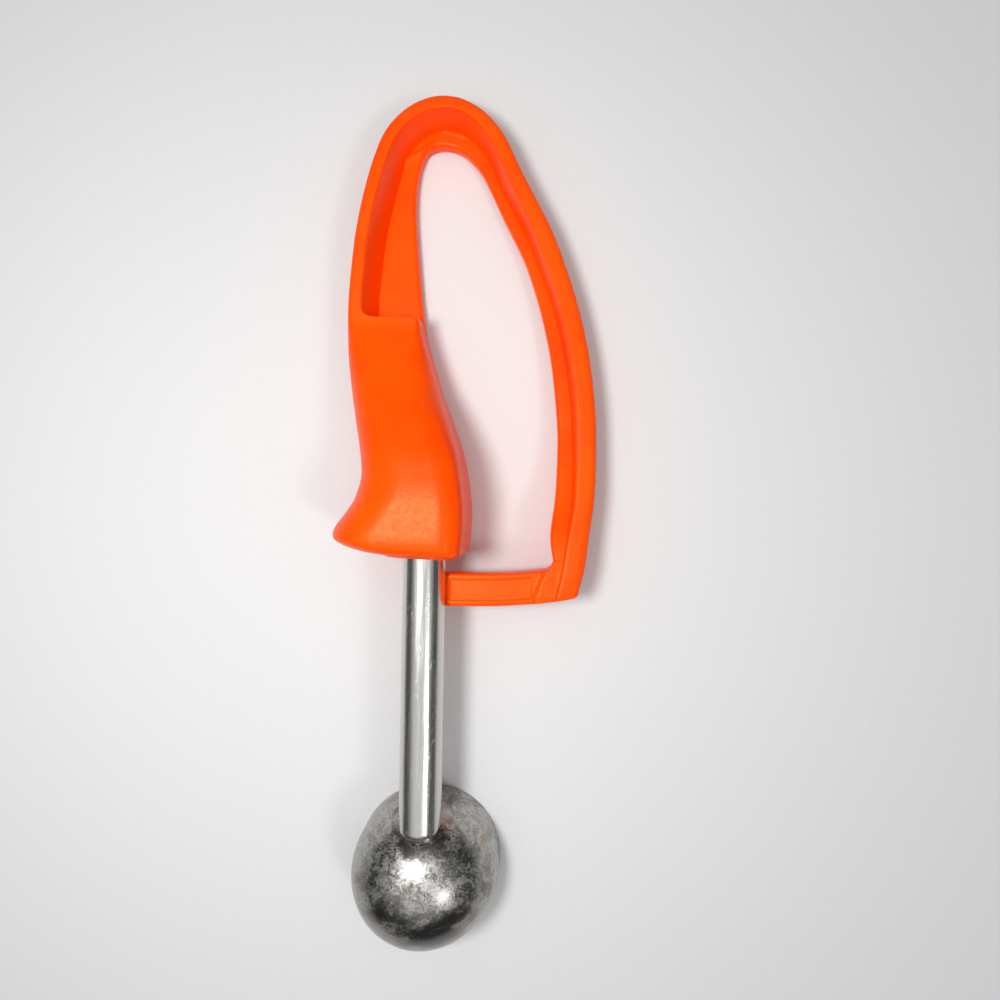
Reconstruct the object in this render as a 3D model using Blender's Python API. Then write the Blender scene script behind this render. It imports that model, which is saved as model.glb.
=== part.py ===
"""Squeeze-handle cookie scoop: a moulded one-piece loop handle, a steel stem tube with a drive
shaft inside it, and a steel bowl with a wiper blade.

Metres, +Z up. The scoop lies on its back with the bowl's mouth down. The stem's axis runs along Y
at X = 0, the loop is at +Y and the bowl at -Y. The origin is on the grip's flat back."""

import math

import bmesh
import bpy
from mathutils import Matrix, Vector

MM = 0.001

# Fits
CLEARANCE = 0.3 * MM
SLOT_PLAY = 0.7 * MM

# Stem tube and the shaft in it
STEM_HEIGHT = 16.5 * MM
TUBE_RADIUS = 4.2 * MM
TUBE_WALL = 0.6 * MM
TUBE_TOP = 12.0 * MM
TUBE_END = -76.1 * MM
SHAFT_RADIUS = 1.5 * MM
SHAFT_BELOW_TUBE_TOP = 1.0 * MM
BUSH_LENGTH = 6.0 * MM

# Pinion teeth milled on the shaft, and the rack on the lever's arm
PINION_TEETH = 8
PINION_PITCH_RADIUS = 1.6 * MM
PINION_LENGTH = 4.0 * MM
TOOTH_ADDENDUM = 0.36 * MM
TOOTH_DEDENDUM = 0.45 * MM
TOOTH_SHARE = 0.34
TOOTH_RUNOUT = 0.4 * MM
PINION_TOOTH_FOOT = 1.6
PINION_TOOTH_TIP = 0.5
TIP_CLEARANCE = 0.25 * MM
RACK_WIDTH = 2.8 * MM
RACK_TEETH = 5
RACK_TOOTH_FOOT = 1.4
RACK_TOOTH_TIP = 0.6
RACK_TOOTH_SINK = 0.3 * MM
WIPER_SWEEP = math.radians(150.0)

# Squeeze arm, from the lever to the stem. Past its straight part it bows towards the crown by
# ARM_BOW times the square of the way along.
ARM_TOP_EDGE = -17.1 * MM
ARM_BOTTOM_EDGE = -24.65 * MM
ARM_THICKNESS = 6.0 * MM
ARM_TIP = -2.6 * MM
ARM_ROOT = 30.5 * MM
ARM_BOW = 4.0
ARM_BOW_START = 11.0 * MM
ARM_BOW_STEPS = 6

# Bowl
BOWL_RADIUS = 17.4 * MM
BOWL_WALL = 0.8 * MM
BOWL_SKIRT = 6.8 * MM
BOWL_BEHIND_TUBE = 12.3 * MM

# Wiper blade and its far pivot
BLADE_THICKNESS = 0.7 * MM
BLADE_CLEARANCE = 0.45 * MM
BLADE_HALF_LENGTH = 9.8 * MM
BLADE_SPINE = 1.1 * MM
BLADE_TIP_SINK = 0.5 * MM
PIVOT_RADIUS = 1.0 * MM
PIVOT_WALL = 0.6 * MM
PIVOT_CUP = 2.2 * MM
PIVOT_HOLE_END = 0.45 * MM
RIVET_RECESS = 0.1 * MM

# Handle sections
HANDLE_SPLIT_GAP = 0.4 * MM
GRIP_DEPTH = 28.5 * MM
WALL_HEIGHT = 13.7 * MM
CROWN_HEIGHT = 12.0 * MM
WEB_HEIGHT = 4.0 * MM
WALL_WIDTH = 3.0 * MM
LEVER_WALL_WIDTH = 4.4 * MM
WALL_SHOULDER = 0.3 * MM
WALL_SLOPE = 0.4 * MM
WALL_DRAFT = 0.18

# Repeated roundness of the meshes
CORNER_STEPS = 4
ROUND_SEGMENTS = 32
WELD = 0.002 * MM

PINION_Y = 0.5 * (ARM_TOP_EDGE + ARM_BOTTOM_EDGE)
BOWL_Y = TUBE_END - BOWL_BEHIND_TUBE
AXIS_ABOVE_DOME_CENTRE = STEM_HEIGHT - BOWL_SKIRT
BOWL_INSIDE = BOWL_RADIUS - BOWL_WALL
RACK_PITCH_HEIGHT = STEM_HEIGHT - PINION_PITCH_RADIUS
ARM_FRONT = RACK_PITCH_HEIGHT - TOOTH_ADDENDUM - TIP_CLEARANCE
PIVOT_SEAT = BOWL_Y - math.sqrt(BOWL_INSIDE**2 - AXIS_ABOVE_DOME_CENTRE**2)

# Each handle station: outer edge x, y, inner edge x, y, front height, floor height, wall width,
# front corner radius, inner corner radius, back corner radius, all in millimetres.
DEPTH = GRIP_DEPTH / MM
WALL = WALL_HEIGHT / MM
CROWN = CROWN_HEIGHT / MM
WEB = WEB_HEIGHT / MM
THIN = WALL_WIDTH / MM
THICK = LEVER_WALL_WIDTH / MM
ARM = ARM_FRONT / MM
GRIP_STATIONS = [
    (-8.8, -12.75, 7.7, -13.3, DEPTH - 2.6, DEPTH - 2.6, THIN, 6.5, 3.2, 3.0),
    (-12.8, -12.1, 8.5, -12.9, DEPTH - 1.2, DEPTH - 1.2, THIN, 7.5, 3.8, 3.5),
    (-16.4, -11.0, 8.95, -12.0, DEPTH - 0.4, DEPTH - 0.4, THIN, 8.5, 4.2, 4.0),
    (-19.2, -9.6, 9.1, -10.6, DEPTH - 0.1, DEPTH - 0.1, THIN, 9.5, 4.4, 4.2),
    (-20.1, -8.0, 9.3, -8.6, DEPTH, DEPTH, THIN, 10.5, 4.5, 4.4),
    (-19.4, -6.0, 9.4, -6.8, DEPTH, DEPTH, THIN, 11.0, 4.6, 4.6),
    (-17.2, -3.0, 9.5, -3.3, DEPTH, DEPTH, THIN, 11.0, 4.7, 4.8),
    (-15.4, 0.0, 9.3, 0.0, DEPTH, DEPTH, THIN, 11.0, 4.8, 5.0),
    (-14.1, 5.0, 8.6, 5.0, DEPTH - 0.5, DEPTH - 0.5, THIN, 10.5, 5.2, 5.2),
    (-14.6, 10.5, 7.5, 10.5, DEPTH - 1.5, DEPTH - 1.5, THIN, 10.0, 5.8, 5.4),
    (-16.3, 18.0, 4.9, 18.0, DEPTH - 4.5, DEPTH - 4.5, THIN, 9.0, 6.6, 5.4),
    (-17.9, 25.3, 2.1, 25.3, DEPTH - 8.5, DEPTH - 8.5, THIN, 7.0, 7.0, 5.0),
    (-19.1, 32.9, -0.5, 32.9, WALL + 2.6, WALL + 2.6, THIN, 4.5, 4.5, 3.0),
    (-19.5, 38.8, -2.3, 38.8, WALL + 0.4, WALL + 0.4, THIN, 2.6, 2.0, 1.8),
    (-19.4, 41.8, -2.9, 41.8, WALL, WALL, THIN, 1.4, 1.0, 1.2),
]
LEFT_LEG_STATIONS = [
    (-19.4, 42.3, -3.0, 42.3, WALL, WEB, THIN, 1.4, 1.0, 1.2),
    (-19.3, 47.0, -3.7, 47.0, WALL, WEB, THIN, 1.4, 1.0, 1.2),
    (-18.9, 52.5, -4.3, 52.5, WALL, WEB, THIN, 1.4, 1.0, 1.2),
    (-18.0, 61.4, -5.1, 61.2, WALL, WEB, THIN, 1.4, 1.0, 1.2),
    (-16.4, 70.2, -5.7, 69.7, WALL, WEB, THIN, 1.4, 1.0, 1.2),
    (-14.2, 79.3, -5.5, 76.7, WALL - 0.6, WEB, THIN, 1.4, 1.0, 1.2),
    (-11.5, 86.4, -4.6, 81.5, CROWN + 0.4, WEB, THIN, 1.4, 1.0, 1.2),
    (-7.0, 91.5, -3.1, 84.9, CROWN, WEB, THIN, 1.4, 1.0, 1.2),
    (-2.0, 94.1, -0.7, 86.2, CROWN, WEB, THIN, 1.4, 1.0, 1.2),
    (2.7, 94.7, 1.8, 86.3, CROWN, WEB, THIN, 1.4, 1.0, 1.2),
    (7.2, 93.7, 4.5, 85.6, CROWN, WEB, THIN, 1.4, 1.0, 1.2),
]
LEVER_STATIONS = [
    (7.2, 93.7, 4.5, 85.6, CROWN, WEB, THIN, 1.4, 1.0, 1.2),
    (11.9, 90.8, 7.0, 84.0, CROWN, WEB, 3.2, 1.4, 1.0, 1.2),
    (16.3, 85.7, 10.3, 80.3, CROWN, WEB, 3.4, 1.5, 1.0, 1.2),
    (20.3, 77.8, 13.4, 74.4, CROWN, WEB, 3.7, 1.6, 1.0, 1.2),
    (24.3, 70.5, 16.1, 68.7, CROWN, WEB + 0.3, 4.0, 1.8, 1.0, 1.2),
    (27.7, 64.0, 19.3, 62.6, CROWN, WEB + 0.6, 4.2, 1.8, 1.0, 1.2),
    (30.5, 57.2, 22.2, 56.1, CROWN, WEB + 1.0, THICK, 1.8, 1.0, 1.2),
    (34.1, 46.7, 25.4, 46.1, CROWN, WEB + 1.5, THICK, 1.8, 1.0, 1.2),
    (36.9, 35.1, 27.9, 35.1, CROWN + 0.2, WEB + 2.0, THICK, 1.8, 1.0, 1.2),
    (38.5, 23.6, 29.4, 23.6, CROWN + 0.5, WEB + 2.6, THICK, 1.8, 1.0, 1.2),
    (39.0, 14.1, 30.0, 14.1, CROWN + 0.8, WEB + 3.2, THICK, 1.8, 1.0, 1.2),
    (38.8, 1.5, 29.7, 1.8, CROWN + 1.8, WEB + 5.0, THICK, 1.8, 1.0, 1.2),
    (37.5, -8.6, 28.6, -8.8, CROWN + 2.9, WEB + 8.0, 4.7, 1.8, 1.0, 1.2),
    (36.6, -15.6, 29.6, -16.6, ARM + 1.4, ARM + 0.7, 5.0, 1.8, 1.0, 1.2),
    (35.0, -22.2, 28.3, -23.5, ARM + 1.5, ARM + 0.7, 5.0, 1.8, 1.0, 1.2),
]

# The lever bends where the loop's crown is halved: the joint's axis is in the middle of it.
LEVER_PIVOT = Vector((5.85 * MM, 89.65 * MM, 0.0))
WIPER_REST = -0.5 * WIPER_SWEEP


def material(name, colour, roughness, metallic):
    """A plain Principled material."""
    made = bpy.data.materials.new(name)
    made.use_nodes = True
    shader = made.node_tree.nodes["Principled BSDF"]
    shader.inputs["Base Color"].default_value = (*colour, 1.0)
    shader.inputs["Roughness"].default_value = roughness
    shader.inputs["Metallic"].default_value = metallic
    made.diffuse_color = (*colour, 1.0)
    return made


def clear_scene():
    """Removes what Blender's default scene holds."""
    for item in list(bpy.data.objects):
        bpy.data.objects.remove(item)


def new_object(name, shape, finish=None, smooth=True):
    """Links a bmesh into the scene as an object."""
    mesh = bpy.data.meshes.new(name)
    shape.to_mesh(mesh)
    shape.free()
    if smooth:
        mesh.shade_smooth()
        mesh.set_sharp_from_angle(angle=math.radians(35.0))
    made = bpy.data.objects.new(name, mesh)
    bpy.context.scene.collection.objects.link(made)
    if finish is not None:
        mesh.materials.append(finish)
    return made


def boolean(target, tool, operation):
    """Adds tool to target, or cuts it out, and applies the result."""
    modifier = target.modifiers.new(tool.name, "BOOLEAN")
    modifier.operation = operation
    modifier.solver = "EXACT"
    modifier.object = tool
    graph = bpy.context.evaluated_depsgraph_get()
    result = bpy.data.meshes.new_from_object(target.evaluated_get(graph))
    target.modifiers.remove(modifier)
    welded = bmesh.new()
    welded.from_mesh(result)
    bmesh.ops.remove_doubles(welded, verts=welded.verts[:], dist=WELD)
    bmesh.ops.dissolve_degenerate(welded, edges=welded.edges[:], dist=WELD)
    welded.to_mesh(result)
    welded.free()
    target.data = result
    bpy.data.objects.remove(tool)


def move_origin(made, point):
    """Puts an object's origin at a point and leaves its shape where it is."""
    made.data.transform(Matrix.Translation(-Vector(point)))
    made.location = point


def arc(centre, radius, start, end, steps=CORNER_STEPS):
    """Points of an arc in a plane, angles in degrees."""
    points = []
    for step in range(steps + 1):
        angle = math.radians(start + (end - start) * step / steps)
        points.append((centre[0] + radius * math.cos(angle), centre[1] + radius * math.sin(angle)))
    return points


def section(station):
    """One ring of the handle, in the upright plane through its outer and inner edge points.
    Across is 0 at the outer edge. The ring runs up the outer side, over the wall, down to the
    floor, across to the inner side and back along the flat back."""
    ox, oy, ix, iy, front, floor, wall, front_radius, inner_radius, back_radius = station
    width = math.hypot(ix - ox, iy - oy)
    ring = arc((back_radius, back_radius), back_radius, 270.0, 180.0)
    ring += arc((front_radius, front - front_radius), front_radius, 180.0, 90.0)
    edge = max(wall, front_radius + WALL_SHOULDER / MM)
    slope = WALL_SLOPE / MM + WALL_DRAFT * (front - floor)
    ring += [(edge, front), (edge + slope, floor)]
    ring += arc((width - inner_radius, floor - inner_radius), inner_radius, 90.0, 0.0)
    ring += arc((width - back_radius, back_radius), back_radius, 0.0, -90.0)
    across = ((ix - ox) / width, (iy - oy) / width)
    return [
        Vector(((ox + across[0] * a) * MM, (oy + across[1] * a) * MM, z * MM)) for a, z in ring
    ]


def between(stations, steps):
    """Stations with more of them on a smooth curve through each pair (Catmull-Rom)."""
    dense = []
    last = len(stations) - 1
    for index in range(last):
        around = [stations[min(max(index + k, 0), last)] for k in (-1, 0, 1, 2)]
        for step in range(steps):
            t = step / steps
            dense.append(tuple(catmull(*values, t) for values in zip(*around)))
    dense.append(stations[last])
    return dense


def catmull(before, start, end, after, t):
    """One value on the Catmull-Rom curve from start to end."""
    return 0.5 * (
        2.0 * start
        + (end - before) * t
        + (2.0 * before - 5.0 * start + 4.0 * end - after) * t**2
        + (3.0 * start - before - 3.0 * end + after) * t**3
    )


def loft(rings):
    """A closed skin through rings of equal length, capped at both ends."""
    shape = bmesh.new()
    rows = [[shape.verts.new(point) for point in ring] for ring in rings]
    count = len(rings[0])
    for low, high in zip(rows, rows[1:]):
        for k in range(count):
            n = (k + 1) % count
            shape.faces.new((low[k], low[n], high[n], high[k]))
    shape.faces.new(rows[0][::-1])
    shape.faces.new(rows[-1])
    bmesh.ops.triangulate(shape, faces=shape.faces[:])
    bmesh.ops.recalc_face_normals(shape, faces=shape.faces[:])
    return shape


def box(low, high):
    """A box between two corners."""
    shape = bmesh.new()
    bmesh.ops.create_cube(shape, size=1.0)
    size = Vector(high) - Vector(low)
    middle = (Vector(high) + Vector(low)) / 2.0
    bmesh.ops.scale(shape, vec=size, verts=shape.verts[:])
    bmesh.ops.translate(shape, vec=middle, verts=shape.verts[:])
    return shape


def turned(profile, centre, axis="Y", segments=ROUND_SEGMENTS):
    """A solid turned about an axis: profile points are (along, radius), from end to end. A radius
    of zero is a pole."""
    shape = bmesh.new()
    rows = []
    for along, radius in profile:
        count = 1 if radius == 0.0 else segments
        row = []
        for k in range(count):
            angle = 2.0 * math.pi * k / segments
            c, s = radius * math.cos(angle), radius * math.sin(angle)
            offset = Vector((c, along, s)) if axis == "Y" else Vector((c, s, along))
            row.append(shape.verts.new(Vector(centre) + offset))
        rows.append(row)
    closed = profile[0][1] > 0.0
    pairs = list(zip(rows, rows[1:]))
    if closed:
        pairs.append((rows[-1], rows[0]))
    for low, high in pairs:
        for k in range(segments):
            n = (k + 1) % segments
            if len(low) == 1:
                shape.faces.new((low[0], high[n], high[k]))
            elif len(high) == 1:
                shape.faces.new((low[k], low[n], high[0]))
            else:
                shape.faces.new((low[k], low[n], high[n], high[k]))
    bmesh.ops.recalc_face_normals(shape, faces=shape.faces[:])
    return shape


def rod(radius, start, end, centre=(0.0, 0.0, STEM_HEIGHT)):
    """A round bar along Y."""
    return turned([(start, 0.0), (start, radius), (end, radius), (end, 0.0)], centre)


def pipe(outer, inner, start, end, centre=(0.0, 0.0, STEM_HEIGHT)):
    """A round tube along Y, open at both ends."""
    return turned([(start, outer), (end, outer), (end, inner), (start, inner)], centre)


def dome(radius, low):
    """A round solid about the bowl's axis: half a ball on a straight skirt down to low."""
    steps = 12
    profile = [(low, 0.0), (low, radius), (0.0, radius)]
    for k in range(1, steps):
        angle = 0.5 * math.pi * k / steps
        profile.append((radius * math.sin(angle), radius * math.cos(angle)))
    profile.append((radius, 0.0))
    return turned(profile, (0.0, BOWL_Y, BOWL_SKIRT), axis="Z", segments=48)


def handle_grip(plastic):
    """Grip, thumb rest, left leg and half of the crown: one moulding with the stem's bore."""
    rings = [section(s) for s in between(GRIP_STATIONS, 2)]
    rings += [section(s) for s in between(LEFT_LEG_STATIONS, 2)]
    rings[-1] = pulled_back(rings[-1], rings[-2], 0.5 * HANDLE_SPLIT_GAP)
    grip = new_object("handle_grip", loft(rings), plastic)
    bore = new_object("stem_bore", rod(TUBE_RADIUS + CLEARANCE, 2.0 * ARM_TOP_EDGE, TUBE_TOP + CLEARANCE))
    boolean(grip, bore, "DIFFERENCE")
    return grip


def pulled_back(ring, before, gap):
    """An end ring moved back along the loft by a gap."""
    middle = sum(ring, Vector()) / len(ring)
    towards = (sum(before, Vector()) / len(before) - middle).normalized()
    return [point + towards * gap for point in ring]


def rack_teeth():
    """Teeth on the arm's front face. A gap of the rack faces the pinion's tooth at rest."""
    pitch = 2.0 * math.pi * PINION_PITCH_RADIUS / PINION_TEETH
    half = 0.5 * TOOTH_SHARE * pitch
    low = ARM_FRONT - RACK_TOOTH_SINK
    top = RACK_PITCH_HEIGHT + TOOTH_ADDENDUM
    y0, y1 = PINION_Y - 0.5 * RACK_WIDTH, PINION_Y + 0.5 * RACK_WIDTH
    teeth = []
    for k in range(RACK_TEETH):
        x = (k - 0.5) * pitch
        foot, tip = RACK_TOOTH_FOOT * half, RACK_TOOTH_TIP * half
        ring = [(x - foot, low), (x + foot, low), (x + tip, top), (x - tip, top)]
        teeth.append(loft([[Vector((a, y, z)) for a, z in ring] for y in (y0, y1)]))
    return teeth


def bowed_arm():
    """The arm: a square bar along X, straight at the stem and bowed near the lever."""
    curved = [
        ARM_BOW_START + (ARM_ROOT - ARM_BOW_START) * k / ARM_BOW_STEPS for k in range(ARM_BOW_STEPS + 1)
    ]
    back = ARM_FRONT - ARM_THICKNESS
    rings = []
    for x in [ARM_TIP] + curved:
        shift = ARM_BOW * max(x - ARM_BOW_START, 0.0) ** 2
        low, high = ARM_BOTTOM_EDGE + shift, ARM_TOP_EDGE + shift
        corners = [(low, back), (high, back), (high, ARM_FRONT), (low, ARM_FRONT)]
        rings.append([Vector((x, y, z)) for y, z in corners])
    return loft(rings)


def squeeze_lever(plastic):
    """The lever with the other half of the crown, the arm to the stem and the rack at its end."""
    rings = [section(s) for s in between(LEVER_STATIONS, 2)]
    rings[0] = pulled_back(rings[0], rings[1], 0.5 * HANDLE_SPLIT_GAP)
    lever = new_object("squeeze_lever", loft(rings), plastic)
    boolean(lever, new_object("arm", bowed_arm()), "UNION")
    for tooth in rack_teeth():
        boolean(lever, new_object("rack_tooth", tooth), "UNION")
    move_origin(lever, LEVER_PIVOT)
    return lever


def stem_tube(steel):
    """The tube, slotted at the back for the arm and cut to the dome where it meets the bowl."""
    tube = new_object("stem_tube", pipe(TUBE_RADIUS, TUBE_RADIUS - TUBE_WALL, TUBE_END, TUBE_TOP), steel)
    top = RACK_PITCH_HEIGHT + TOOTH_ADDENDUM + CLEARANCE
    slot = box(
        (-2.0 * TUBE_RADIUS, ARM_BOTTOM_EDGE - SLOT_PLAY, 0.0),
        (2.0 * TUBE_RADIUS, ARM_TOP_EDGE + SLOT_PLAY, top),
    )
    boolean(tube, new_object("arm_slot", slot), "DIFFERENCE")
    boolean(tube, new_object("dome_cut", dome(BOWL_RADIUS + CLEARANCE, -2.0 * BOWL_SKIRT)), "DIFFERENCE")
    return tube


def bushes(brass):
    """The shaft's two bearings in the tube."""
    outer = TUBE_RADIUS - TUBE_WALL - CLEARANCE
    inner = SHAFT_RADIUS + CLEARANCE
    low_end = TUBE_END + 2.0 * TUBE_RADIUS
    new_object("upper_bush", pipe(outer, inner, TUBE_TOP - BUSH_LENGTH, TUBE_TOP), brass)
    new_object("lower_bush", pipe(outer, inner, low_end, low_end + BUSH_LENGTH), brass)


def pinion_outline():
    """The pinion's outline about its axis, as (angle from straight down, radius) points."""
    pitch = 2.0 * math.pi / PINION_TEETH
    half = 0.5 * TOOTH_SHARE * pitch
    root = PINION_PITCH_RADIUS - TOOTH_DEDENDUM
    tip = PINION_PITCH_RADIUS + TOOTH_ADDENDUM
    points = []
    for k in range(PINION_TEETH):
        middle = k * pitch
        points += [
            (middle - 0.5 * pitch, root),
            (middle - PINION_TOOTH_FOOT * half, root),
            (middle - PINION_TOOTH_TIP * half, tip),
            (middle + PINION_TOOTH_TIP * half, tip),
            (middle + PINION_TOOTH_FOOT * half, root),
        ]
    return points


def drive_shaft(steel):
    """The shaft from the upper bush to the wiper, with the pinion's teeth milled on it."""
    end = BOWL_Y + BLADE_HALF_LENGTH + CLEARANCE
    top = TUBE_TOP - SHAFT_BELOW_TUBE_TOP
    low, high = PINION_Y - 0.5 * PINION_LENGTH, PINION_Y + 0.5 * PINION_LENGTH
    toothed = pinion_outline()
    plain = [(angle, SHAFT_RADIUS) for angle, radius in toothed]
    stations = [
        (end, plain),
        (low - TOOTH_RUNOUT, plain),
        (low, toothed),
        (high, toothed),
        (high + TOOTH_RUNOUT, plain),
        (top, plain),
    ]
    rings = [
        [Vector((r * math.sin(a), y, STEM_HEIGHT - r * math.cos(a))) for a, r in outline]
        for y, outline in stations
    ]
    shaft = new_object("drive_shaft", loft(rings), steel)
    move_origin(shaft, (0.0, 0.0, STEM_HEIGHT))
    return shaft


def wiper_blade(steel):
    """A crescent plate in a plane through the shaft's axis, fitted to the dome's top inside."""
    steps = 14
    reach = BOWL_INSIDE - BLADE_CLEARANCE
    edge = []
    for k in range(steps + 1):
        along = BLADE_HALF_LENGTH * (1.0 - 2.0 * k / steps)
        edge.append((along, math.sqrt(reach**2 - along**2) - AXIS_ABOVE_DOME_CENTRE))
    outline = edge + [(-BLADE_HALF_LENGTH, -BLADE_SPINE), (BLADE_HALF_LENGTH, -BLADE_SPINE)]
    half = 0.5 * BLADE_THICKNESS
    plate = loft([[Vector((x, BOWL_Y + a, r)) for a, r in outline] for x in (-half, half)])
    blade = new_object("wiper_blade", plate, steel, smooth=False)
    far = PIVOT_SEAT + PIVOT_HOLE_END + CLEARANCE
    near = BOWL_Y - BLADE_HALF_LENGTH + BLADE_TIP_SINK
    tip = new_object("wiper_tip", rod(PIVOT_RADIUS, far, near, (0.0, 0.0, 0.0)))
    boolean(blade, tip, "UNION")
    blade.data.transform(Matrix.Rotation(WIPER_REST, 4, "Y"))
    blade.location = (0.0, 0.0, STEM_HEIGHT)
    return blade


def bowl(steel):
    """The spun bowl, open at its mouth, with a hole for the shaft and one for the far pivot."""
    made = new_object("bowl", dome(BOWL_RADIUS, -BOWL_SKIRT), steel)
    inside = dome(BOWL_INSIDE, -2.0 * BOWL_SKIRT)
    boolean(made, new_object("bowl_inside", inside), "DIFFERENCE")
    near = new_object("shaft_hole", rod(SHAFT_RADIUS + CLEARANCE, BOWL_Y, BOWL_Y + BOWL_RADIUS))
    boolean(made, near, "DIFFERENCE")
    rivet_radius = PIVOT_RADIUS + 2.0 * CLEARANCE + PIVOT_WALL
    far = new_object("rivet_hole", rod(rivet_radius, BOWL_Y - BOWL_RADIUS, BOWL_Y - 0.5 * BOWL_RADIUS))
    boolean(made, far, "DIFFERENCE")
    return made


def pivot_rivet(steel):
    """The rivet in the dome's far side: a cup inside the wall that carries the wiper's tip. Its
    outer end is ground to the dome's curve."""
    outer = PIVOT_RADIUS + CLEARANCE + PIVOT_WALL
    blank_end = BOWL_Y - BOWL_RADIUS
    hole_end = PIVOT_SEAT + PIVOT_HOLE_END
    profile = [
        (blank_end, 0.0),
        (blank_end, outer),
        (PIVOT_SEAT + PIVOT_CUP, outer),
        (PIVOT_SEAT + PIVOT_CUP, PIVOT_RADIUS + CLEARANCE),
        (hole_end, PIVOT_RADIUS + CLEARANCE),
        (hole_end, 0.0),
    ]
    rivet = new_object("pivot_rivet", turned(profile, (0.0, 0.0, STEM_HEIGHT)), steel)
    ground = dome(BOWL_RADIUS - RIVET_RECESS, -BOWL_SKIRT)
    boolean(rivet, new_object("dome_outside", ground), "INTERSECT")
    return rivet


def main():
    clear_scene()
    plastic = material("orange_plastic", (1.0, 0.12, 0.0), 0.4, 0.0)
    steel = material("stainless_steel", (0.7, 0.69, 0.67), 0.22, 1.0)
    brass = material("brass", (0.75, 0.6, 0.3), 0.35, 1.0)
    handle_grip(plastic)
    squeeze_lever(plastic)
    stem_tube(steel)
    bushes(brass)
    drive_shaft(steel)
    wiper_blade(steel)
    bowl(steel)
    pivot_rivet(steel)


main()
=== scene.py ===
"""Looks of the squeeze-handle cookie scoop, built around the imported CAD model.

Metres, +Z up, in the CAD's frame: the stem's axis runs along Y at X = 0, the bowl's mouth is at
Z = 0 and the camera looks straight down on the scoop's front."""

import math

import bmesh
import bpy
import numpy as np
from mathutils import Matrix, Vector


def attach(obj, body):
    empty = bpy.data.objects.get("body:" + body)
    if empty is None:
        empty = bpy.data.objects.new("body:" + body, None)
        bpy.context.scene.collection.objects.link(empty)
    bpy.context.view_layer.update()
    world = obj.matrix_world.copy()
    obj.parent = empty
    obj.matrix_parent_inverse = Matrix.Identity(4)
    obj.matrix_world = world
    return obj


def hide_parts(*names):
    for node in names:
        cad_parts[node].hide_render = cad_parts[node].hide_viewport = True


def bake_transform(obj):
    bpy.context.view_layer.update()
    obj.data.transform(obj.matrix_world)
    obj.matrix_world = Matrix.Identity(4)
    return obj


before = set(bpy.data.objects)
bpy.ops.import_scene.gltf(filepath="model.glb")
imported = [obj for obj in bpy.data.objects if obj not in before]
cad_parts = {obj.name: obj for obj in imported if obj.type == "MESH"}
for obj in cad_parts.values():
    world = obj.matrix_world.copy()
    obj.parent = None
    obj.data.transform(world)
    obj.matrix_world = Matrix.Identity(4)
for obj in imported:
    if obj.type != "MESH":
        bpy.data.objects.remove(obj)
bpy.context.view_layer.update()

MM = 0.001

# Stem, bowl and arm, as in the CAD
STEM_HEIGHT = 16.5 * MM
TUBE_RADIUS = 4.2 * MM
TUBE_WALL = 0.6 * MM
TUBE_TOP = 12.0 * MM
TUBE_END = -76.1 * MM
TUBE_CLEARS_DOME = 0.1 * MM
BOWL_RADIUS = 17.4 * MM
BOWL_WALL = 0.8 * MM
BOWL_SKIRT = 6.8 * MM
BOWL_Y = TUBE_END - 12.3 * MM
RIM_SWELL = 0.06 * MM
SEAM_OFFSET = 0.05 * MM
RECESS_DEPTH = 0.45 * MM
RECESS_RADIUS = 1.4 * MM
ARM_TOP_EDGE = -17.1 * MM
ARM_BOTTOM_EDGE = -24.65 * MM
ARM_TIP = -2.6 * MM
ARM_ROOT = 30.5 * MM
ARM_BOW = 4.0
ARM_BOW_START = 11.0 * MM
ARM_THICKNESS = 6.0 * MM
ARM_FRONT = 14.29 * MM
ARM_MIDDLE = 0.5 * (ARM_TOP_EDGE + ARM_BOTTOM_EDGE)
RIB_X = 26.3 * MM
RIB_WIDTH = 1.8 * MM
RIB_SLANT = 0.35
RIB_HEIGHT = 0.7 * MM
PANEL_DEPTH = 0.35 * MM
PANEL_LEFT = 5.3 * MM
PANEL_RIGHT = 24.6 * MM
PANEL_MARGIN = 1.1 * MM
PANEL_SOFTNESS = 0.5 * MM
ARM_ROUND = 0.7 * MM
FILLET_X = 27.2 * MM
FILLET = 2.2 * MM
SLOT_PLAY = 0.7 * MM
SLOT_HEIGHT = 15.56 * MM
TOOTH_PITCH = math.pi * 0.4 * MM
TOOTH_TOP = 15.26 * MM
RACK_HALF_WIDTH = 1.5 * MM
RACK_END_SOFTNESS = 0.1 * MM
RACK_END = 5.6 * MM
# In pitches: a tooth's half width at its root, its flank's run, and where the rack starts and ends
TOOTH_ROOT = 0.238
TOOTH_FLANK = 0.136
FIRST_TOOTH = -0.9
LAST_TOOTH = 3.9

# Handle sections, in millimetres. POCKET_STEP, its length and POCKET_CORNER_LAST count stations.
# WALL_SLOPE is the wall's run, to which WALL_DRAFT adds a share of its drop, and WALL_ROUND is the
# share of the run that is rounded.
DEPTH = 28.5
WALL = 13.7
CROWN = 12.0
WEB = 4.0
THIN = 3.0
THICK = 4.4
ARM = ARM_FRONT / MM
POCKET_STEP = 14.03
POCKET_STEP_LENGTH = 0.14
POCKET_START = 42.0
POCKET_CORNER = 2.6
POCKET_CORNER_LAST = 16
WALL_SLOPE = 0.4
WALL_DRAFT = 0.18
WALL_ROUND = 0.2

# Faint ridges on the pocket's floor at the crown, in millimetres
LONG_RIDGE = ((-10.3, 78.5), (-9.4, 81.5), (-7.0, 83.2), (-4.1, 84.7), (-2.1, 86.4))
SHORT_RIDGE = ((0.7, 90.2), (6.4, 88.6))
LONG_RIDGE_HEIGHT = 0.5
SHORT_RIDGE_HEIGHT = 0.25
RIDGE_WIDTH = 0.55
WEB_TOLERANCE = 0.1

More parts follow.
